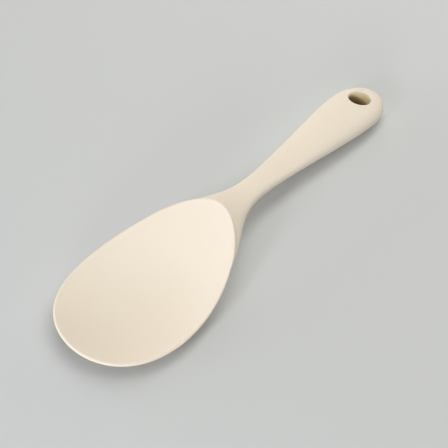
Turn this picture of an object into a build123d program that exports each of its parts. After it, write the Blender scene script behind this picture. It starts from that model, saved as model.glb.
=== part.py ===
from build123d import *
import math
import os

# Rice paddle, lying at rest on a table with its dish up.
# Frame: +Z up from the table, +X along the length towards the handle's end,
# origin under the middle of the bounding box. Millimetres.
#
# The shape is dimensioned in the blade's own plane (u along the length from the
# tip, v square to the blade's rim), which stands BLADE_TILT above the table
# because the paddle rests on the bottom of its dish and on the handle's end.

BLADE_TILT = 8.45          # degrees, blade's rim plane above the table
U_MID = 118.20             # shift that centres the bounding box on X
V_TABLE = 3.55             # lift that stands the paddle on the table

# --- blade: an egg-shaped dish between two doubly curved faces ---
BLADE_LENGTH = 103.74      # tip to the lip at the neck
BLADE_HALF_WIDTH = 33.98
EGG_1, EGG_2, EGG_3 = -0.1859, 0.0621, -0.0428   # egg shape, narrower at the neck
DISH_U = 49.4              # deepest point from the tip
DISH_V = -7.28             # floor below the side rims
DISH_R_LONG = 102.4        # radius of the dish along the length
DISH_R_ACROSS = 82.85      # radius of the dish across
WALL = 2.560               # wall at the dish's deepest point
BACK_R_LONG = 99.1        # radii of the dish's back: the wall thins towards the rim
BACK_R_ACROSS = 78.5
RIM_ROUND_INNER = 0.45     # rounded edges of the rim
RIM_ROUND_OUTER = 0.6

# --- neck and handle sections: u, half width, centre v, slope in degrees,
#     half thickness above the centre, half thickness below,
#     roundness above, roundness below ---
SECTIONS = [
    (66.0, 28.11, 2.43, -0.67, 3.20, 10.00, 2.30, 1.90),
    (73.0, 27.44, 2.15, -5.51, 3.83, 8.64, 2.30, 1.80),
    (80.0, 25.65, 1.00, -12.13, 4.40, 6.69, 2.20, 1.70),
    (87.0, 22.91, -0.36, -6.80, 5.20, 5.17, 2.10, 1.70),
    (93.0, 19.90, -0.73, -3.28, 6.44, 4.94, 2.00, 1.75),
    (99.0, 16.55, -1.28, -6.34, 7.33, 4.73, 1.90, 1.85),
    (104.0, 13.74, -1.88, -7.61, 7.51, 4.59, 1.90, 1.95),
    (109.0, 11.21, -2.63, -9.33, 5.98, 4.42, 2.14, 2.11),
    (115.0, 8.87, -3.69, -10.60, 4.22, 4.16, 2.48, 2.27),
    (122.0, 7.20, -5.06, -11.49, 3.53, 4.04, 2.60, 2.30),
    (130.0, 6.60, -6.73, -12.00, 3.41, 3.96, 2.60, 2.30),
    (140.0, 7.06, -8.89, -12.43, 3.17, 3.73, 2.60, 2.30),
    (152.0, 8.28, -11.61, -13.10, 3.15, 3.71, 2.58, 2.30),
    (166.0, 9.84, -14.91, -13.23, 4.03, 4.37, 2.46, 2.30),
    (180.0, 11.52, -18.15, -12.86, 5.23, 5.18, 2.34, 2.30),
    (194.0, 13.25, -21.30, -12.46, 5.91, 5.62, 2.30, 2.30),
    (206.0, 14.31, -24.01, -13.48, 6.30, 5.95, 2.30, 2.30),
    (214.4, 14.54, -26.19, -15.81, 6.63, 6.27, 2.30, 2.30),
    (220.4, 14.11, -28.02, -17.99, 6.91, 6.55, 2.30, 2.30),
    (224.4, 13.12, -29.38, -19.45, 7.05, 6.69, 2.30, 2.30),
    (227.6, 11.72, -30.54, -20.30, 7.10, 6.75, 2.30, 2.30),
    (230.2, 9.96, -31.51, -20.76, 6.67, 6.34, 2.30, 2.30),
    (232.1, 8.00, -32.24, -20.97, 5.62, 5.34, 2.30, 2.30),
    (233.4, 5.83, -32.74, -21.05, 4.14, 3.94, 2.30, 2.30),
    (234.1, 3.66, -33.01, -21.07, 2.52, 2.40, 2.30, 2.30),
    (234.4, 1.67, -33.11, -21.08, 1.06, 1.01, 2.30, 2.30),
]

# --- hanging hole ---
HOLE_U = 219.81
HOLE_V = -27.82
HOLE_SLOPE = -17.71        # the handle's slope at the hole
HOLE_RADIUS = 6.28
HOLE_LIP = 0.7             # rounded mouths

# --- stiff core inside the soft skin ---
CORE_PLATE_TOP = 0.70      # skin between the dish's face and the core plate
CORE_PLATE_BOTTOM = 1.50
CORE_EGG_INSET = 7.5
CORE_HOLE_RADIUS = 3.0     # interlock holes in the plate
CORE_HOLES = [(22.0, 0.0), (34.0, 15.0), (34.0, -15.0), (48.0, 0.0),
              (56.0, 19.0), (56.0, -19.0), (70.0, 9.0), (70.0, -9.0)]
CORE_STEM = [              # u, half width, centre v, slope, half thickness
    (78.0, 10.0, -4.05, 17.0, 0.45),
    (86.0, 9.0, -2.20, 4.0, 1.10),
    (94.0, 7.2, -1.80, -6.0, 2.10),
    (104.0, 5.6, -2.10, -8.6, 2.90),
    (115.0, 4.4, -3.79, -10.60, 2.70),
    (122.0, 3.8, -5.31, -11.49, 2.30),
    (130.0, 3.5, -7.01, -12.00, 2.15),
    (140.0, 3.9, -9.17, -12.43, 2.00),
    (152.0, 4.9, -11.89, -13.10, 2.00),
    (166.0, 6.4, -15.06, -13.23, 2.50),
    (180.0, 8.0, -18.15, -12.86, 2.70),
    (200.0, 9.8, -22.63, -12.60, 2.70),
    (213.0, 9.6, -25.80, -15.34, 2.70),
]
STEM_HOLE_RADIUS = 2.2
STEM_HOLES = [(166.0, -14.91, -13.23), (180.0, -18.15, -12.86), (194.0, -21.30, -12.46)]
EYE_OUTER = 11.0           # eye of the core round the hanging hole
EYE_INNER = 8.2
EYE_THICKNESS = 6.4

os.makedirs("parts", exist_ok=True)

TILT = math.radians(BLADE_TILT)


def at(u, v, y=0.0):
    """A point given in the blade's plane, in the table's frame."""
    return Vector(
        u * math.cos(TILT) - v * math.sin(TILT) - U_MID,
        y,
        u * math.sin(TILT) + v * math.cos(TILT) + V_TABLE,
    )


def across(u, v, slope):
    """Plane square to the handle's middle line: local x is across, local y is up."""
    a = TILT + math.radians(slope)
    return Plane(origin=at(u, v), x_dir=(0, 1, 0), z_dir=(math.cos(a), 0, math.sin(a)))


def flat(u, v, slope=0.0):
    """Plane along the handle or blade: local x is lengthwise, local y is across."""
    a = TILT + math.radians(slope)
    return Plane(
        origin=at(u, v), x_dir=(math.cos(a), 0, math.sin(a)), z_dir=(-math.sin(a), 0, math.cos(a))
    )


def section_points(half_width, up, down, round_up, round_down, count=16):
    points = []
    for i in range(count):
        a = 2 * math.pi * i / count
        c, s = math.cos(a), math.sin(a)
        n = round_up if s >= 0 else round_down
        h = up if s >= 0 else down
        points.append(
            (
                half_width * math.copysign(abs(c) ** (2 / n), c) if abs(c) > 1e-9 else 0.0,
                h * math.copysign(abs(s) ** (2 / n), s) if abs(s) > 1e-9 else 0.0,
            )
        )
    return points


def egg_points(inset=0.0, count=36):
    """Outline of the blade in its plane, from the blade's middle."""
    half = BLADE_LENGTH / 2
    points = []
    for i in range(count):
        a = 2 * math.pi * i / count
        xi = -math.cos(a)
        swell = 1 + EGG_1 * xi + EGG_2 * xi**2 + EGG_3 * xi**3
        points.append(((half - inset) * xi, (BLADE_HALF_WIDTH - inset) * math.sin(a) * swell))
    return points


BARREL_HALF = 46.0


def barrel_plane(low, r_long):
    """Plane across the blade, at the axis that a barrel-shaped face is turned about."""
    return Plane(
        origin=at(DISH_U, low + r_long), x_dir=(0, 1, 0), z_dir=(math.cos(TILT), 0, math.sin(TILT))
    )


def barrel_axis(low, r_long):
    return Axis(at(DISH_U, low + r_long), (0, 1, 0))


def barrel_profile(r_long, r_across):
    """Half of a barrel whose skin is curved along and across."""
    top = r_long - r_across
    edge = -(top + math.sqrt(r_across**2 - BARREL_HALF**2))
    with BuildLine() as outline:
        Polyline((-BARREL_HALF, edge), (-BARREL_HALF, 0), (BARREL_HALF, 0), (BARREL_HALF, edge))
        ThreePointArc((BARREL_HALF, edge), (0, -(top + r_across)), (-BARREL_HALF, edge))
    return outline


DISH_PLANE = barrel_plane(DISH_V, DISH_R_LONG)
DISH_AXIS = barrel_axis(DISH_V, DISH_R_LONG)


def dish_profile(depth=0.0):
    """The dish's face, sunk by depth."""
    return barrel_profile(DISH_R_LONG + depth, DISH_R_ACROSS + depth)


# ---------------------------------------------------------------- outer form
# The blade: an egg cut out of a shell curved along and across.
with BuildPart() as blade_form:
    with BuildSketch(flat(BLADE_LENGTH / 2, -16.0)):
        with BuildLine():
            Spline(*egg_points(), periodic=True)
        make_face()
    extrude(amount=34.0)
    with BuildSketch(barrel_plane(DISH_V - WALL, BACK_R_LONG)):
        with BuildLine():
            add(barrel_profile(BACK_R_LONG, BACK_R_ACROSS).line)
        make_face()
    revolve(axis=barrel_axis(DISH_V - WALL, BACK_R_LONG), revolution_arc=360, mode=Mode.INTERSECT)
    with BuildSketch(DISH_PLANE):
        with BuildLine():
            add(dish_profile().line)
        make_face()
    revolve(axis=DISH_AXIS, revolution_arc=360, mode=Mode.SUBTRACT)
    square_up = Axis((0, 0, 0), (-math.sin(TILT), 0, math.cos(TILT)))
    inner_rim = blade_form.edges().filter_by(lambda e: e.length > 150).sort_by(square_up)[-1]
    fillet(inner_rim, RIM_ROUND_INNER)
    outer_rim = blade_form.edges().filter_by(lambda e: e.length > 150).sort_by(square_up)[0]
    fillet(outer_rim, RIM_ROUND_OUTER)

# The flare under the dish, the waisted neck and the swelling handle.
with BuildPart() as handle_form:
    for u, half_width, v, slope, up, down, round_up, round_down in SECTIONS:
        with BuildSketch(across(u, v, slope)):
            with BuildLine():
                Spline(*section_points(half_width, up, down, round_up, round_down), periodic=True)
            make_face()
    loft()
    # the hollow of the dish stays clear
    with BuildSketch(DISH_PLANE):
        with BuildLine():
            add(dish_profile().line)
        make_face()
    revolve(axis=DISH_AXIS, revolution_arc=360, mode=Mode.SUBTRACT)

with BuildPart() as outer_form:
    add(handle_form.part)
    add(blade_form.part)
    # hanging hole, square to the handle
    with BuildSketch(flat(HOLE_U, HOLE_V, HOLE_SLOPE)):
        Circle(HOLE_RADIUS)
    extrude(amount=12.0, both=True, mode=Mode.SUBTRACT)
    hole_wall = outer_form.faces(Select.LAST).filter_by(GeomType.CYLINDER)
    mouths = hole_wall.edges().filter_by(lambda e: e.length > 30)
    fillet(mouths, HOLE_LIP)

# ---------------------------------------------------------------- nylon core
with BuildPart() as nylon_core:
    # thin plate that follows the dish
    with BuildSketch(flat(BLADE_LENGTH / 2, -16.0)):
        with BuildLine():
            Spline(*egg_points(CORE_EGG_INSET), periodic=True)
        make_face()
    extrude(amount=34.0)
    with BuildSketch(DISH_PLANE):
        with BuildLine():
            add(dish_profile(CORE_PLATE_BOTTOM).line)
        make_face()
    revolve(axis=DISH_AXIS, revolution_arc=360, mode=Mode.INTERSECT)
    with BuildSketch(DISH_PLANE):
        with BuildLine():
            add(dish_profile(CORE_PLATE_TOP).line)
        make_face()
    revolve(axis=DISH_AXIS, revolution_arc=360, mode=Mode.SUBTRACT)
    # interlock holes that the skin fills
    for u, y in CORE_HOLES:
        with BuildSketch(flat(u, -16.0)):
            with Locations((0, y)):
                Circle(CORE_HOLE_RADIUS)
        extrude(amount=34.0, mode=Mode.SUBTRACT)

with BuildPart() as core_stem:
    for u, half_width, v, slope, half in CORE_STEM:
        with BuildSketch(across(u, v, slope)):
            with BuildLine():
                Spline(*section_points(half_width, half, half, 2.3, 2.3), periodic=True)
            make_face()
    loft()
    with BuildSketch(DISH_PLANE):
        with BuildLine():
            add(dish_profile(CORE_PLATE_TOP).line)
        make_face()
    revolve(axis=DISH_AXIS, revolution_arc=360, mode=Mode.SUBTRACT)
    # eye round the hanging hole
    with BuildSketch(flat(HOLE_U, HOLE_V, HOLE_SLOPE)):
        Circle(EYE_OUTER)
    extrude(amount=EYE_THICKNESS / 2, both=True)
    with BuildSketch(flat(HOLE_U, HOLE_V, HOLE_SLOPE)):
        Circle(EYE_INNER)
    extrude(amount=12.0, both=True, mode=Mode.SUBTRACT)
    for u, v, slope in STEM_HOLES:
        with BuildSketch(flat(u, v, slope)):
            Circle(STEM_HOLE_RADIUS)
        extrude(amount=10.0, both=True, mode=Mode.SUBTRACT)

with nylon_core:
    add(core_stem.part)

nylon_core.part.label = "nylon_core"
export_step(nylon_core.part, "parts/nylon_core.step")

# ------------------------------------------------------------- silicone body
# The soft skin: the outer form, moulded round the core and through its holes.
with BuildPart() as silicone_body:
    add(outer_form.part)
    add(nylon_core.part, mode=Mode.SUBTRACT)

silicone_body.part.label = "silicone_body"
export_step(silicone_body.part, "parts/silicone_body.step")
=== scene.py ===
import math

import bpy
import numpy as np
from mathutils import Matrix


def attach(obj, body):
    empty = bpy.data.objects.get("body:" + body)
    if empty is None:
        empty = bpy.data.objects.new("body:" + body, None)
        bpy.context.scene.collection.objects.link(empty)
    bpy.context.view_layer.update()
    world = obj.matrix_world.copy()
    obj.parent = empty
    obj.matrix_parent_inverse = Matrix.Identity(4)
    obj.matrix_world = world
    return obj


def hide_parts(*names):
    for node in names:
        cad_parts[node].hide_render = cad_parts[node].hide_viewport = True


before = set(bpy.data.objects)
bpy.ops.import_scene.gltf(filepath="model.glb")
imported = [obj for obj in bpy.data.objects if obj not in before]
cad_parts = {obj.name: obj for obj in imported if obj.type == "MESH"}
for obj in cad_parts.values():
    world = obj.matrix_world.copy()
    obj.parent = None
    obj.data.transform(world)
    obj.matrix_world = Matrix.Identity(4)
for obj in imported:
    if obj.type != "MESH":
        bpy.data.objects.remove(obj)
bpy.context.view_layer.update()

# ---- the paddle's shape, in the blade's plane (millimetres) ----
BLADE_TILT = math.radians(8.45)
U_MID, V_TABLE = 118.20, 3.55
BLADE_LENGTH, BLADE_HALF_WIDTH = 103.74, 33.98
EGG_1, EGG_2, EGG_3 = -0.1859, 0.0621, -0.0428
DISH_U, DISH_V = 49.4, -7.28
DISH_R_LONG, DISH_R_ACROSS = 102.4, 82.85
WALL, BACK_R_LONG, BACK_R_ACROSS = 2.550, 99.1, 78.5
RIM_IN_TIP, RIM_IN_NECK, RIM_OUT = 1.6, 1.0, 0.8
OVER_R, OVER_U = 2.0, 78.0
# u, half width, centre v, half thickness above, below, roundness above, below
SECTIONS = np.array([
    (60.0, 28.26, 2.50, 3.00, 10.50, 2.30, 1.90),
    (66.0, 28.11, 2.43, 3.20, 10.00, 2.30, 1.90),
    (73.0, 27.44, 2.15, 3.83, 8.64, 2.30, 1.80),
    (80.0, 25.65, 1.00, 4.40, 6.69, 2.20, 1.70),
    (87.0, 22.91, -0.36, 5.20, 5.17, 2.10, 1.70),
    (93.0, 19.90, -0.73, 6.44, 4.94, 2.00, 1.75),
    (99.0, 16.55, -1.28, 7.33, 4.73, 1.90, 1.85),
    (104.0, 13.74, -1.88, 7.51, 4.59, 1.90, 1.95),
    (109.0, 11.21, -2.63, 5.98, 4.42, 2.14, 2.11),
    (115.0, 8.87, -3.69, 4.22, 4.16, 2.48, 2.27),
    (122.0, 7.20, -5.06, 3.53, 4.04, 2.60, 2.30),
    (130.0, 6.60, -6.73, 3.41, 3.96, 2.60, 2.30),
    (140.0, 7.06, -8.89, 3.17, 3.73, 2.60, 2.30),
    (152.0, 8.28, -11.61, 3.15, 3.71, 2.58, 2.30),
    (166.0, 9.84, -14.91, 4.03, 4.37, 2.46, 2.30),
    (180.0, 11.52, -18.15, 5.23, 5.18, 2.34, 2.30),
    (194.0, 13.25, -21.30, 5.91, 5.62, 2.30, 2.30),
    (206.0, 14.31, -24.01, 6.30, 5.95, 2.30, 2.30),
    (214.4, 14.54, -26.19, 6.63, 6.27, 2.30, 2.30),
    (222.0, 14.28, -28.54, 6.97, 6.61, 2.30, 2.30),
    (235.0, 13.08, -33.34, 7.20, 6.85, 2.30, 2.30),
])
END_U, END_LONG, END_SHAPE, END_FULL = 214.4, 19.93, 2.555, 0.626
HOLE_U, HOLE_V, HOLE_SLOPE, HOLE_RADIUS, HOLE_LIP = 219.81, -27.82, math.radians(-17.71), 6.28, 0.7


class Curve:
    """A smooth curve through the listed values (natural cubic)."""

    def __init__(self, x, y):
        x, y = np.asarray(x, float), np.asarray(y, float)
        n = len(x)
        h = np.diff(x)
        a = np.eye(n)
        r = np.zeros(n)
        for i in range(1, n - 1):
            a[i, i - 1], a[i, i], a[i, i + 1] = h[i - 1], 2 * (h[i - 1] + h[i]), h[i]
            r[i] = 6 * ((y[i + 1] - y[i]) / h[i] - (y[i] - y[i - 1]) / h[i - 1])
        self.x, self.y, self.h, self.m = x, y, h, np.linalg.solve(a, r)
        # dense table, quick to read
        self.t = np.linspace(x[0], x[-1], 6001)
        self.v, self.d = self._exact(self.t)

    def _exact(self, t):
        i = np.clip(np.searchsorted(self.x, t) - 1, 0, len(self.h) - 1)
        h, a, b = self.h[i], self.x[i + 1] - t, t - self.x[i]
        m0, m1, y0, y1 = self.m[i], self.m[i + 1], self.y[i], self.y[i + 1]
        v = m0 * a**3 / (6 * h) + m1 * b**3 / (6 * h) + (y0 / h - m0 * h / 6) * a + (y1 / h - m1 * h / 6) * b
        d = -m0 * a**2 / (2 * h) + m1 * b**2 / (2 * h) - (y0 / h - m0 * h / 6) + (y1 / h - m1 * h / 6)
        return v, d

    def __call__(self, t):
        return np.interp(t, self.t, self.v)

    def slope(self, t):
        return np.interp(t, self.t, self.d)


WIDTH = Curve(SECTIONS[:, 0], SECTIONS[:, 1])
MIDDLE = Curve(SECTIONS[:, 0], SECTIONS[:, 2])
ABOVE = Curve(SECTIONS[:, 0], SECTIONS[:, 3])
BELOW = Curve(SECTIONS[:, 0], SECTIONS[:, 4])
ROUND_ABOVE = Curve(SECTIONS[:, 0], SECTIONS[:, 5])
ROUND_BELOW = Curve(SECTIONS[:, 0], SECTIONS[:, 6])


def step(lo, hi, x):
    t = np.clip((x - lo) / (hi - lo), 0, 1)
    return t * t * (3 - 2 * t)


def round_and(a, b, r):
    """Both a and b inside, with the outer corner rounded to radius r."""
    return np.minimum(-r, np.maximum(a, b)) + np.hypot(np.maximum(r + a, 0), np.maximum(r + b, 0))


def round_or(a, b, r):
    """Either a or b inside, with the inner corner filled to radius r."""
    return np.maximum(r, np.minimum(a, b)) - np.hypot(np.maximum(r - a, 0), np.maximum(r - b, 0))


_a = np.linspace(0, 2 * math.pi, 2881)
_xi = -np.cos(_a)
_ex = BLADE_LENGTH / 2 * _xi
_ey = BLADE_HALF_WIDTH * np.sin(_a) * (1 + EGG_1 * _xi + EGG_2 * _xi**2 + EGG_3 * _xi**3)
_ang = np.unwrap(np.arctan2(_ey, _ex))
if _ang[-1] < _ang[0]:
    _ang, _ex, _ey = _ang[::-1], _ex[::-1], _ey[::-1]
EGG_ANGLE = np.linspace(-math.pi, math.pi, 2049)
EGG_REACH = np.interp(EGG_ANGLE, _ang, np.hypot(_ex, _ey), period=2 * math.pi)
EGG_RATE = np.gradient(EGG_REACH, EGG_ANGLE)


def egg(u, y):
    du = u - BLADE_LENGTH / 2
    r = np.hypot(du, y)
    p = np.arctan2(y, du)
    reach = np.interp(p, EGG_ANGLE, EGG_REACH)
    rate = np.interp(p, EGG_ANGLE, EGG_RATE)
    return (r - reach) / np.sqrt(1 + (rate / reach) ** 2)


def shell(u, y, v, low, long, across):
    """Distance outside a barrel-shaped surface whose lowest point is at v = low."""
    q = np.hypot(u - DISH_U, v - (low + long))
    return np.hypot(q - (long - across), y) - across


def handle(u, y, v):
    s = u
    for _ in range(3):
        c, k = MIDDLE(s), MIDDLE.slope(s)
        s = np.clip(s + ((u - s) + (v - c) * k) / (1 + k * k), 60, 235)
    c, k = MIDDLE(s), MIDDLE.slope(s)
    g = 1 / np.sqrt(1 + k * k)
    n = (-(u - s) * k + (v - c)) * g
    beyond = (u - 235) * g + (v - MIDDLE(235.0)) * k * g
    w = WIDTH(s)
    up = n >= 0
    h = np.where(up, ABOVE(s), BELOW(s))
    e = np.where(up, ROUND_ABOVE(s), ROUND_BELOW(s))
    a = np.abs(y) / w
    long = np.maximum(s + np.where(s >= 235, np.maximum(beyond, 0), 0) - END_U, 0) / END_LONG
    plan = (a**END_SHAPE + long**END_SHAPE) ** (1 / END_SHAPE)
    toward = long / np.maximum(plan, 1e-6)
    a = np.where(long > 0, np.maximum(1 - (1 - plan) / (1 - END_FULL * toward**2), 0), a)
    b = np.abs(n) / h
    G = np.maximum(a**e + b**e, 1e-9)
    f = G ** (1 / e)
    grad = G ** (1 / e - 1) * np.hypot(a ** (e - 1) / w, b ** (e - 1) / h)
    near = np.minimum(w, h)
    d = (f - 1) / np.maximum(grad, 1e-6)
    return np.maximum(np.maximum(d, (f - 1) * near), 61.0 - u)


def body(u, y, v):
    t = shell(u, y, v, DISH_V, DISH_R_LONG, DISH_R_ACROSS)
    back = shell(u, y, v, DISH_V - WALL, BACK_R_LONG, BACK_R_ACROSS)
    cup = round_and(back, egg(u, y), RIM_OUT)
    grip = handle(u, y, v)
    side = np.abs(y) / WIDTH(np.clip(u, 60, 235))
    under = (1 - step(0.45, 0.9, side)) * step(72, 84, u) * (1 - step(100, 116, u)) * (1 - step(-1.5, 3.5, v))
    over = step(OVER_U, OVER_U + 12, u) * step(-1.0, 2.5, v)
    r = 0.8 + 6.0 * under + OVER_R * over
    s = round_or(cup, grip, r)
    s = round_and(s, -t, RIM_IN_TIP + (RIM_IN_NECK - RIM_IN_TIP) * step(12, 60, u))
    l = (u - HOLE_U) * math.cos(HOLE_SLOPE) + (v - HOLE_V) * math.sin(HOLE_SLOPE)
    return round_and(s, HOLE_RADIUS - np.hypot(l, y), HOLE_LIP)


def to_table(p):
    c, s = math.cos(BLADE_TILT), math.sin(BLADE_TILT)
    return np.stack([p[:, 0] * c - p[:, 2] * s - U_MID, p[:, 1], p[:, 0] * s + p[:, 2] * c + V_TABLE], 1)


def turn_to_table(n):
    c, s = math.cos(BLADE_TILT), math.sin(BLADE_TILT)
    return np.stack([n[:, 0] * c - n[:, 2] * s, n[:, 1], n[:, 0] * s + n[:, 2] * c], 1)


def surface(h):
    """Closed quad mesh of the body, points in the blade's plane."""
    lo = np.array([-2.0, -36.6, -41.6])
    n = np.ceil((np.array([239.0, 36.6, 11.6]) - lo) / h).astype(int) + 1
    n = (np.ceil((n - 1) / 8) * 8 + 1).astype(int)
    B = 8
    nb = (n - 1) // B
    I, J, K = np.meshgrid(np.arange(nb[0]), np.arange(nb[1]), np.arange(nb[2]), indexing="ij")
    cen = lo + (np.stack([I, J, K], -1).reshape(-1, 3) * B + B / 2) * h
    fc = body(cen[:, 0], cen[:, 1], cen[:, 2])
    act = np.abs(fc) < B * h * 0.87 * 1.5 + 1.0
    F = np.empty(tuple(n), np.float32)
    F.fill(1.0)
    idx = np.stack([I, J, K], -1).reshape(-1, 3)
    off = np.stack(np.meshgrid(*[np.arange(B + 1)] * 3, indexing="ij"), -1).reshape(-1, 3)
    for b in idx[~act][fc[~act] < 0]:
        F[b[0] * B:b[0] * B + B + 1, b[1] * B:b[1] * B + B + 1, b[2] * B:b[2] * B + B + 1] = -1.0
    ab = idx[act]
    for i in range(0, len(ab), 400):
        g = (ab[i:i + 400, None, :] * B + off[None]).reshape(-1, 3)
        p = lo + g * h
        F[g[:, 0], g[:, 1], g[:, 2]] = body(p[:, 0], p[:, 1], p[:, 2])
    # no face of a cell has its corners inside and outside crosswise
    for _ in range(6):
        found = 0
        for ax in range(3):
            o1, o2 = [(1, 2), (2, 0), (0, 1)][ax]

            def at(a, b):
                sl = [slice(None)] * 3
                sl[o1] = slice(a, n[o1] - 1 + a)
                sl[o2] = slice(b, n[o2] - 1 + b)
                return F[tuple(sl)] < 0

            cross = (at(0, 0) == at(1, 1)) & (at(1, 0) == at(0, 1)) & (at(0, 0) != at(1, 0))
            for c in np.argwhere(cross):
                four = []
                for a, b in ((0, 0), (1, 0), (0, 1), (1, 1)):
                    k = c.copy()
                    k[o1] += a
                    k[o2] += b
                    four.append((abs(F[tuple(k)]), tuple(k)))
                k = min(four)[1]
                F[k] = -np.sign(F[k]) * 1e-3
                found += 1
        if not found:
            break
    inside = F < 0
    # one vertex in each cell that the surface passes through
    mixed = np.zeros(tuple(n - 1), bool)
    c8 = [inside[dx:dx + n[0] - 1, dy:dy + n[1] - 1, dz:dz + n[2] - 1] for dx in (0, 1) for dy in (0, 1) for dz in (0, 1)]
    allin, anyin = c8[0].copy(), c8[0].copy()
    for c in c8[1:]:
        allin &= c
        anyin |= c
    mixed = anyin & ~allin
    cells = np.argwhere(mixed)
    num = -np.ones(tuple(n - 1), np.int64)
    num[tuple(cells.T)] = np.arange(len(cells))
    acc, cnt = np.zeros((len(cells), 3)), np.zeros(len(cells))
    for ax in range(3):
        o1, o2 = [(1, 2), (0, 2), (0, 1)][ax]
        for p1 in (0, 1):
            for p2 in (0, 1):
                a = cells.copy()
                a[:, o1] += p1
                a[:, o2] += p2
                b = a.copy()
                b[:, ax] += 1
                fa, fb = F[tuple(a.T)].astype(float), F[tuple(b.T)].astype(float)
                m = (fa < 0) != (fb < 0)
                t = fa[m] / (fa[m] - fb[m])
                q = a[m].astype(float)
                q[:, ax] += t
                acc[m] += q
                cnt[m] += 1
    verts = lo + acc / cnt[:, None] * h
    quads = []
    for ax in range(3):
        o1, o2 = [(1, 2), (2, 0), (0, 1)][ax]
        sl_a = [slice(None)] * 3
        sl_b = [slice(None)] * 3
        sl_a[ax], sl_b[ax] = slice(0, n[ax] - 1), slice(1, n[ax])
        fa, fb = inside[tuple(sl_a)], inside[tuple(sl_b)]
        e = np.argwhere(fa != fb)
        flip = fa[tuple(e.T)]
        ok = (e[:, o1] > 0) & (e[:, o2] > 0) & (e[:, o1] < n[o1] - 1) & (e[:, o2] < n[o2] - 1)
        e, flip = e[ok], flip[ok]
        c = []
        for p1, p2 in ((1, 1), (0, 1), (0, 0), (1, 0)):
            a = e.copy()
            a[:, o1] -= p1
            a[:, o2] -= p2
            c.append(num[tuple(a.T)])
        q = np.stack(c, 1)
        q[~flip] = q[~flip][:, ::-1]
        quads.append(q)
    return verts, np.vstack(quads)


def gradient(p, e=0.02):
    g = np.empty_like(p)
    for k in range(3):
        a, b = p.copy(), p.copy()
        a[:, k] += e
        b[:, k] -= e
        g[:, k] = (body(a[:, 0], a[:, 1], a[:, 2]) - body(b[:, 0], b[:, 1], b[:, 2])) / (2 * e)
    return g


def settle(p, rounds=2, limit=0.3):
    """Moves points onto the surface."""
    for _ in range(rounds):
        g = gradient(p)
        f = body(p[:, 0], p[:, 1], p[:, 2])
        mv = g * (f / np.maximum((g * g).sum(1), 0.05))[:, None]
        l = np.linalg.norm(mv, axis=1)
        p = p - mv * np.minimum(1, limit / np.maximum(l, 1e-9))[:, None]
    return p


def relax(p, quads, rounds=3):
    """Evens out the quads, keeping every point on the surface."""
    pairs = np.vstack([quads[:, [0, 1]], quads[:, [1, 2]], quads[:, [2, 3]], quads[:, [3, 0]]])
    deg = np.bincount(pairs.ravel(), minlength=len(p)).astype(float)
    for _ in range(rounds):
        acc = np.zeros_like(p)
        for k in range(3):
            acc[:, k] = np.bincount(pairs[:, 0], weights=p[pairs[:, 1], k], minlength=len(p)) + np.bincount(
                pairs[:, 1], weights=p[pairs[:, 0], k], minlength=len(p)
            )
        mean = acc / deg[:, None]
        g = gradient(p)
        nrm = g / np.maximum(np.linalg.norm(g, axis=1), 1e-9)[:, None]
        d = mean - p
        d -= nrm * (d * nrm).sum(1)[:, None]
        p = settle(p + 0.6 * d, 1)
    return p

# ---- studio light: name, azimuth, elevation, distance, size, power, colour ----
GRID = 0.5
WORLD = 0.0285
LIGHTS = [
    ("box_a", 0, 8, 1.0, 0.30, 1.061, (1.000, 0.865, 0.888)),
    ("box_b", 0, 32, 1.0, 0.45, 0.955, (1.000, 0.966, 0.882)),
    ("box_c", 0, 55, 1.0, 0.45, 1.817, (1.000, 0.987, 0.937)),
    ("box_d", 0, 80, 1.0, 0.45, 1.468, (1.000, 0.999, 0.965)),
    ("box_e", 45, 32, 1.0, 0.45, 1.563, (1.000, 0.991, 0.925)),
    ("box_f", 60, 55, 1.0, 0.45, 0.605, (0.997, 1.000, 0.964)),
    ("box_g", 90, 8, 1.0, 0.30, 1.675, (0.955, 0.943, 1.000)),
    ("box_h", 120, 8, 1.0, 0.30, 0.972, (0.883, 0.906, 1.000)),
    ("box_i", 150, 8, 1.0, 0.30, 2.480, (0.863, 0.898, 1.000)),
    ("box_j", 150, 15, 1.0, 0.30, 0.227, (0.898, 0.930, 1.000)),
    ("box_k", 180, 32, 1.0, 0.45, 0.169, (0.966, 0.991, 1.000)),
    ("box_l", 180, 55, 1.0, 0.45, 0.408, (0.984, 1.000, 0.985)),
    ("box_m", 180, 80, 1.0, 0.45, 1.091, (0.993, 1.000, 0.974)),
    ("box_n", 185, 22, 1.0, 0.12, 0.812, (0.942, 0.971, 1.000)),
    ("box_o", 185, 27, 1.0, 0.12, 1.138, (0.958, 0.984, 1.000)),
    ("box_p", 205, 12, 1.0, 0.12, 0.869, (0.922, 0.949, 1.000)),
    ("box_q", 210, 8, 1.0, 0.30, 3.313, (0.916, 0.937, 1.000)),
    ("box_r", 240, 55, 1.0, 0.45, 0.380, (0.995, 1.000, 0.970)),
    ("box_s", 300, 55, 1.0, 0.45, 1.237, (1.000, 0.990, 0.944)),
]



def mesh_object(name, verts, faces, normals=None):
    me = bpy.data.meshes.new(name)
    me.from_pydata(verts.tolist(), [], faces.tolist())
    me.polygons.foreach_set("use_smooth", np.ones(len(me.polygons), bool))
    me.update()
    if normals is not None:
        me.normals_split_custom_set_from_vertices(normals.tolist())
    ob = bpy.data.objects.new(name, me)
    bpy.context.scene.collection.objects.link(ob)
    return ob


points, quads = surface(GRID)
points = settle(points, 3)
points = relax(points, quads, 3)
slopes = gradient(points)
slopes /= np.linalg.norm(slopes, axis=1)[:, None]
skin = mesh_object(
    "silicone_skin",
    to_table(points) / 1000,
    quads,
    turn_to_table(slopes),
)
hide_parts("silicone_body")
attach(skin, "root")


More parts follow.
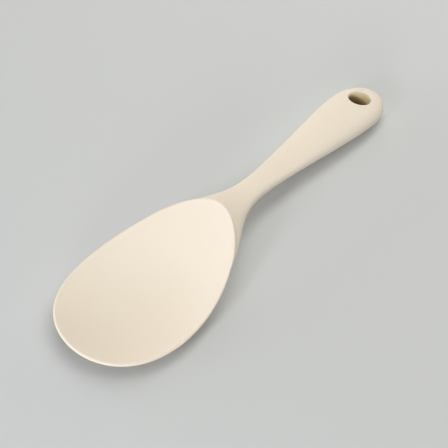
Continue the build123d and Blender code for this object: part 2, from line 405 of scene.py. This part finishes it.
# ---- materials ----
def new_material(name):
    m = bpy.data.materials.new(name)
    m.use_nodes = True
    nt = m.node_tree
    nt.nodes.clear()
    out = nt.nodes.new("ShaderNodeOutputMaterial")
    bsdf = nt.nodes.new("ShaderNodeBsdfPrincipled")
    nt.links.new(bsdf.outputs["BSDF"], out.inputs["Surface"])
    return m, nt, bsdf


def noise(nt, coords, scale, detail=3.0, rough=0.5, distort=0.0):
    n = nt.nodes.new("ShaderNodeTexNoise")
    n.inputs["Scale"].default_value = scale
    n.inputs["Detail"].default_value = detail
    n.inputs["Roughness"].default_value = rough
    n.inputs["Distortion"].default_value = distort
    nt.links.new(coords, n.inputs["Vector"])
    return n.outputs["Fac"]


def spread(nt, value, lo, hi, to_lo, to_hi):
    m = nt.nodes.new("ShaderNodeMapRange")
    m.inputs["From Min"].default_value, m.inputs["From Max"].default_value = lo, hi
    m.inputs["To Min"].default_value, m.inputs["To Max"].default_value = to_lo, to_hi
    nt.links.new(value, m.inputs["Value"])
    return m.outputs["Result"]


def mix_colour(nt, fac, a, b):
    m = nt.nodes.new("ShaderNodeMix")
    m.data_type = "RGBA"
    nt.links.new(fac, m.inputs["Factor"])
    for v, s in ((a, m.inputs[6]), (b, m.inputs[7])):
        if isinstance(v, tuple):
            s.default_value = v
        else:
            nt.links.new(v, s)
    return m.outputs[2]


# how fast and from what depth the painted shade inside the hanging hole darkens
PAINTED_SHADE_RATE, PAINTED_SHADE_START = 0.73, 1.8


def vector_math(nt, operation, a, b=None):
    m = nt.nodes.new("ShaderNodeVectorMath")
    m.operation = operation
    for v, s in ((a, m.inputs[0]), (b, m.inputs[1])):
        if isinstance(v, tuple):
            s.default_value = v
        elif v is not None:
            nt.links.new(v, s)
    return m.outputs["Value" if operation in ("DOT_PRODUCT", "LENGTH") else "Vector"]


def value_math(nt, operation, a, b=0.0):
    m = nt.nodes.new("ShaderNodeMath")
    m.operation = operation
    for v, s in ((a, m.inputs[0]), (b, m.inputs[1])):
        if isinstance(v, float):
            s.default_value = v
        else:
            nt.links.new(v, s)
    return m.outputs["Value"]


def hole_painted_shade(nt, co, colour):
    """Paints shade onto the hanging hole's wall, darker away from its mouths, and paints a highlight onto the mouths'
    rounded edge.
    """
    slope = BLADE_TILT + HOLE_SLOPE
    middle = to_table(np.array([[HOLE_U, 0.0, HOLE_V]]))[0] / 1000
    up = (-math.sin(slope), 0.0, math.cos(slope))
    sideways = (0.866 * math.cos(slope), -0.5, 0.866 * math.sin(slope))
    p = vector_math(nt, "SUBTRACT", co, tuple(float(c) for c in middle))
    high = value_math(nt, "MULTIPLY", vector_math(nt, "DOT_PRODUCT", p, up), 1000.0)
    lean = value_math(nt, "MULTIPLY", vector_math(nt, "DOT_PRODUCT", p, sideways), 430.0)
    whole = value_math(nt, "MULTIPLY", vector_math(nt, "LENGTH", p), 1000.0)
    radius = value_math(
        nt, "SQRT", value_math(nt, "SUBTRACT", value_math(nt, "MULTIPLY", whole, whole), value_math(nt, "MULTIPLY", high, high))
    )
    depth = value_math(nt, "SUBTRACT", 6.3, high)
    # painted shade: darker with depth into the hole, lighter towards one leaning side, lighter again near the lower
    # mouth
    shaded = value_math(nt, "POWER", PAINTED_SHADE_RATE, value_math(nt, "MAXIMUM", value_math(nt, "SUBTRACT", value_math(nt, "SUBTRACT", depth, lean), PAINTED_SHADE_START), 0.0))
    lower_mouth = spread(nt, depth, 9.0, 12.6, 0.0, 0.9)
    light = value_math(nt, "MAXIMUM", shaded, lower_mouth)
    wall = spread(nt, radius, HOLE_RADIUS + 0.25, HOLE_RADIUS + 0.75, 1.0, 0.0)
    # colour ramp from near-black painted shade up to the plain silicone colour
    ramp = nt.nodes.new("ShaderNodeValToRGB")
    stops = ramp.color_ramp.elements
    stops[0].position, stops[0].color = 0.0, (0.016, 0.010, 0.001, 1)
    stops[1].position, stops[1].color = 1.0, (0.985, 0.795, 0.610, 1)
    for place, tone in ((0.18, (0.140, 0.104, 0.028, 1)), (0.45, (0.410, 0.325, 0.160, 1)), (0.75, (0.700, 0.580, 0.390, 1))):
        stops.new(place).color = tone
    nt.links.new(light, ramp.inputs["Fac"])
    painted_shade_colour = mix_colour(nt, wall, colour, ramp.outputs["Color"])
    # painted highlight: a pale ring on the mouths' rounded edge, strongest on one side
    near = spread(nt, vector_math(nt, "DOT_PRODUCT", p, (-0.79, -0.61, 0.0)), -0.006, 0.006, 0.15, 0.85)
    painted_highlight_ring = value_math(
        nt, "MULTIPLY",
        spread(nt, radius, HOLE_RADIUS + 0.05, HOLE_RADIUS + 0.3, 0.0, 1.0),
        spread(nt, radius, HOLE_RADIUS + 0.6, HOLE_RADIUS + 1.1, 1.0, 0.0),
    )
    soft = value_math(nt, "MULTIPLY", wall, spread(nt, light, 0.0, 1.0, 0.45, 0.95))
    return mix_colour(nt, value_math(nt, "MULTIPLY", painted_highlight_ring, near), painted_shade_colour, (0.950, 0.900, 0.790, 1)), soft


def silicone():
    m, nt, bsdf = new_material("silicone")
    co = nt.nodes.new("ShaderNodeTexCoord").outputs["Object"]
    drift = noise(nt, co, 14.0, 2.0)
    fleck = noise(nt, co, 900.0, 2.0)
    cloud = mix_colour(nt, spread(nt, drift, 0.35, 0.65, 0.0, 1.0), (0.835, 0.735, 0.600, 1), (0.850, 0.752, 0.622, 1))
    colour = mix_colour(nt, spread(nt, fleck, 0.30, 0.75, 0.0, 1.0), cloud, (0.858, 0.765, 0.638, 1))
    # the hanging hole's wall gets painted shade, and its mouth a painted highlight
    painted_shade_colour, soft = hole_painted_shade(nt, co, colour)
    nt.links.new(painted_shade_colour, bsdf.inputs["Base Color"])
    nt.links.new(soft, bsdf.inputs["Subsurface Weight"])
    bsdf.inputs["Subsurface Scale"].default_value = 0.011
    bsdf.inputs["Subsurface Radius"].default_value = (0.93, 0.93, 0.84)
    nt.links.new(spread(nt, noise(nt, co, 60.0, 4.0), 0.3, 0.7, 0.54, 0.62), bsdf.inputs["Roughness"])
    bsdf.inputs["IOR"].default_value = 1.41
    bsdf.inputs["Sheen Weight"].default_value = 0.06
    bsdf.inputs["Sheen Roughness"].default_value = 0.45
    bump = nt.nodes.new("ShaderNodeBump")
    bump.inputs["Strength"].default_value = 0.10
    bump.inputs["Distance"].default_value = 0.00004
    nt.links.new(noise(nt, co, 2600.0, 2.0), bump.inputs["Height"])
    nt.links.new(bump.outputs["Normal"], bsdf.inputs["Normal"])
    return m


def nylon():
    m, nt, bsdf = new_material("nylon_core")
    co = nt.nodes.new("ShaderNodeTexCoord").outputs["Object"]
    stretch = nt.nodes.new("ShaderNodeMapping")
    stretch.inputs["Scale"].default_value = (0.25, 1.0, 1.0)
    nt.links.new(co, stretch.inputs["Vector"])
    fibres = noise(nt, stretch.outputs["Vector"], 1400.0, 3.0, 0.6)
    colour = mix_colour(nt, spread(nt, fibres, 0.35, 0.7, 0.0, 1.0), (0.60, 0.56, 0.48, 1), (0.70, 0.66, 0.57, 1))
    nt.links.new(colour, bsdf.inputs["Base Color"])
    nt.links.new(spread(nt, fibres, 0.3, 0.7, 0.42, 0.58), bsdf.inputs["Roughness"])
    bsdf.inputs["IOR"].default_value = 1.53
    bump = nt.nodes.new("ShaderNodeBump")
    bump.inputs["Strength"].default_value = 0.2
    bump.inputs["Distance"].default_value = 0.00005
    nt.links.new(fibres, bump.inputs["Height"])
    nt.links.new(bump.outputs["Normal"], bsdf.inputs["Normal"])
    return m


skin.data.materials.append(silicone())
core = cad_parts["nylon_core"]
core.data.materials.clear()
core.data.materials.append(nylon())

# ---- floor, light and camera ----
side = 3.0
floor = mesh_object(
    "floor",
    np.array([(-side, -side, 0.0), (side, -side, 0.0), (side, side, 0.0), (-side, side, 0.0)]),
    np.array([(0, 1, 2, 3)]),
)
mf, ntf, bf = new_material("floor")
bf.inputs["Base Color"].default_value = (0.62, 0.63, 0.63, 1)
bf.inputs["Roughness"].default_value = 0.9
bf.inputs["Specular IOR Level"].default_value = 0.2
floor.data.materials.append(mf)

scene = bpy.context.scene
scene.view_settings.view_transform = "Standard"
scene.view_settings.look = "None"
world = bpy.data.worlds.new("studio")
scene.world = world
world.use_nodes = True
world.node_tree.nodes["Background"].inputs["Color"].default_value = (1.0, 1.0, 1.0, 1)
world.node_tree.nodes["Background"].inputs["Strength"].default_value = WORLD


def soft_light(name, azimuth, elevation, distance, size, power, colour=(1, 1, 1)):
    """A square softbox; azimuth is measured from +X towards +Y."""
    d = bpy.data.lights.new(name, "AREA")
    d.shape, d.size, d.energy, d.color = "SQUARE", size, power, colour
    ob = bpy.data.objects.new(name, d)
    a, e = math.radians(azimuth), math.radians(elevation)
    z = np.array([math.cos(a) * math.cos(e), math.sin(a) * math.cos(e), math.sin(e)])
    x = np.cross((0.0, 0.0, 1.0) if abs(z[2]) < 0.99 else (1.0, 0.0, 0.0), z)
    x /= np.linalg.norm(x)
    y = np.cross(z, x)
    m = np.eye(4)
    m[:3, 0], m[:3, 1], m[:3, 2], m[:3, 3] = x, y, z, z * distance
    ob.matrix_world = Matrix(m.tolist())
    scene.collection.objects.link(ob)
    return ob


for spec in LIGHTS:
    soft_light(*spec)

cam = bpy.data.cameras.new("camera")
cam.sensor_width = 36.0
cam.lens = 99.579
cam.clip_start, cam.clip_end = 0.01, 50
view = bpy.data.objects.new("camera", cam)
m = np.eye(4)
m[:3, 0] = (0.63497435, -0.77181716, 0.03325417)
m[:3, 1] = (0.54868960, 0.48087284, 0.68388671)
m[:3, 2] = (-0.54382653, -0.41600430, 0.72882997)
m[:3, 3] = (-0.35028171, -0.25833950, 0.46016326)
view.matrix_world = Matrix(m.tolist())
scene.collection.objects.link(view)
scene.camera = view
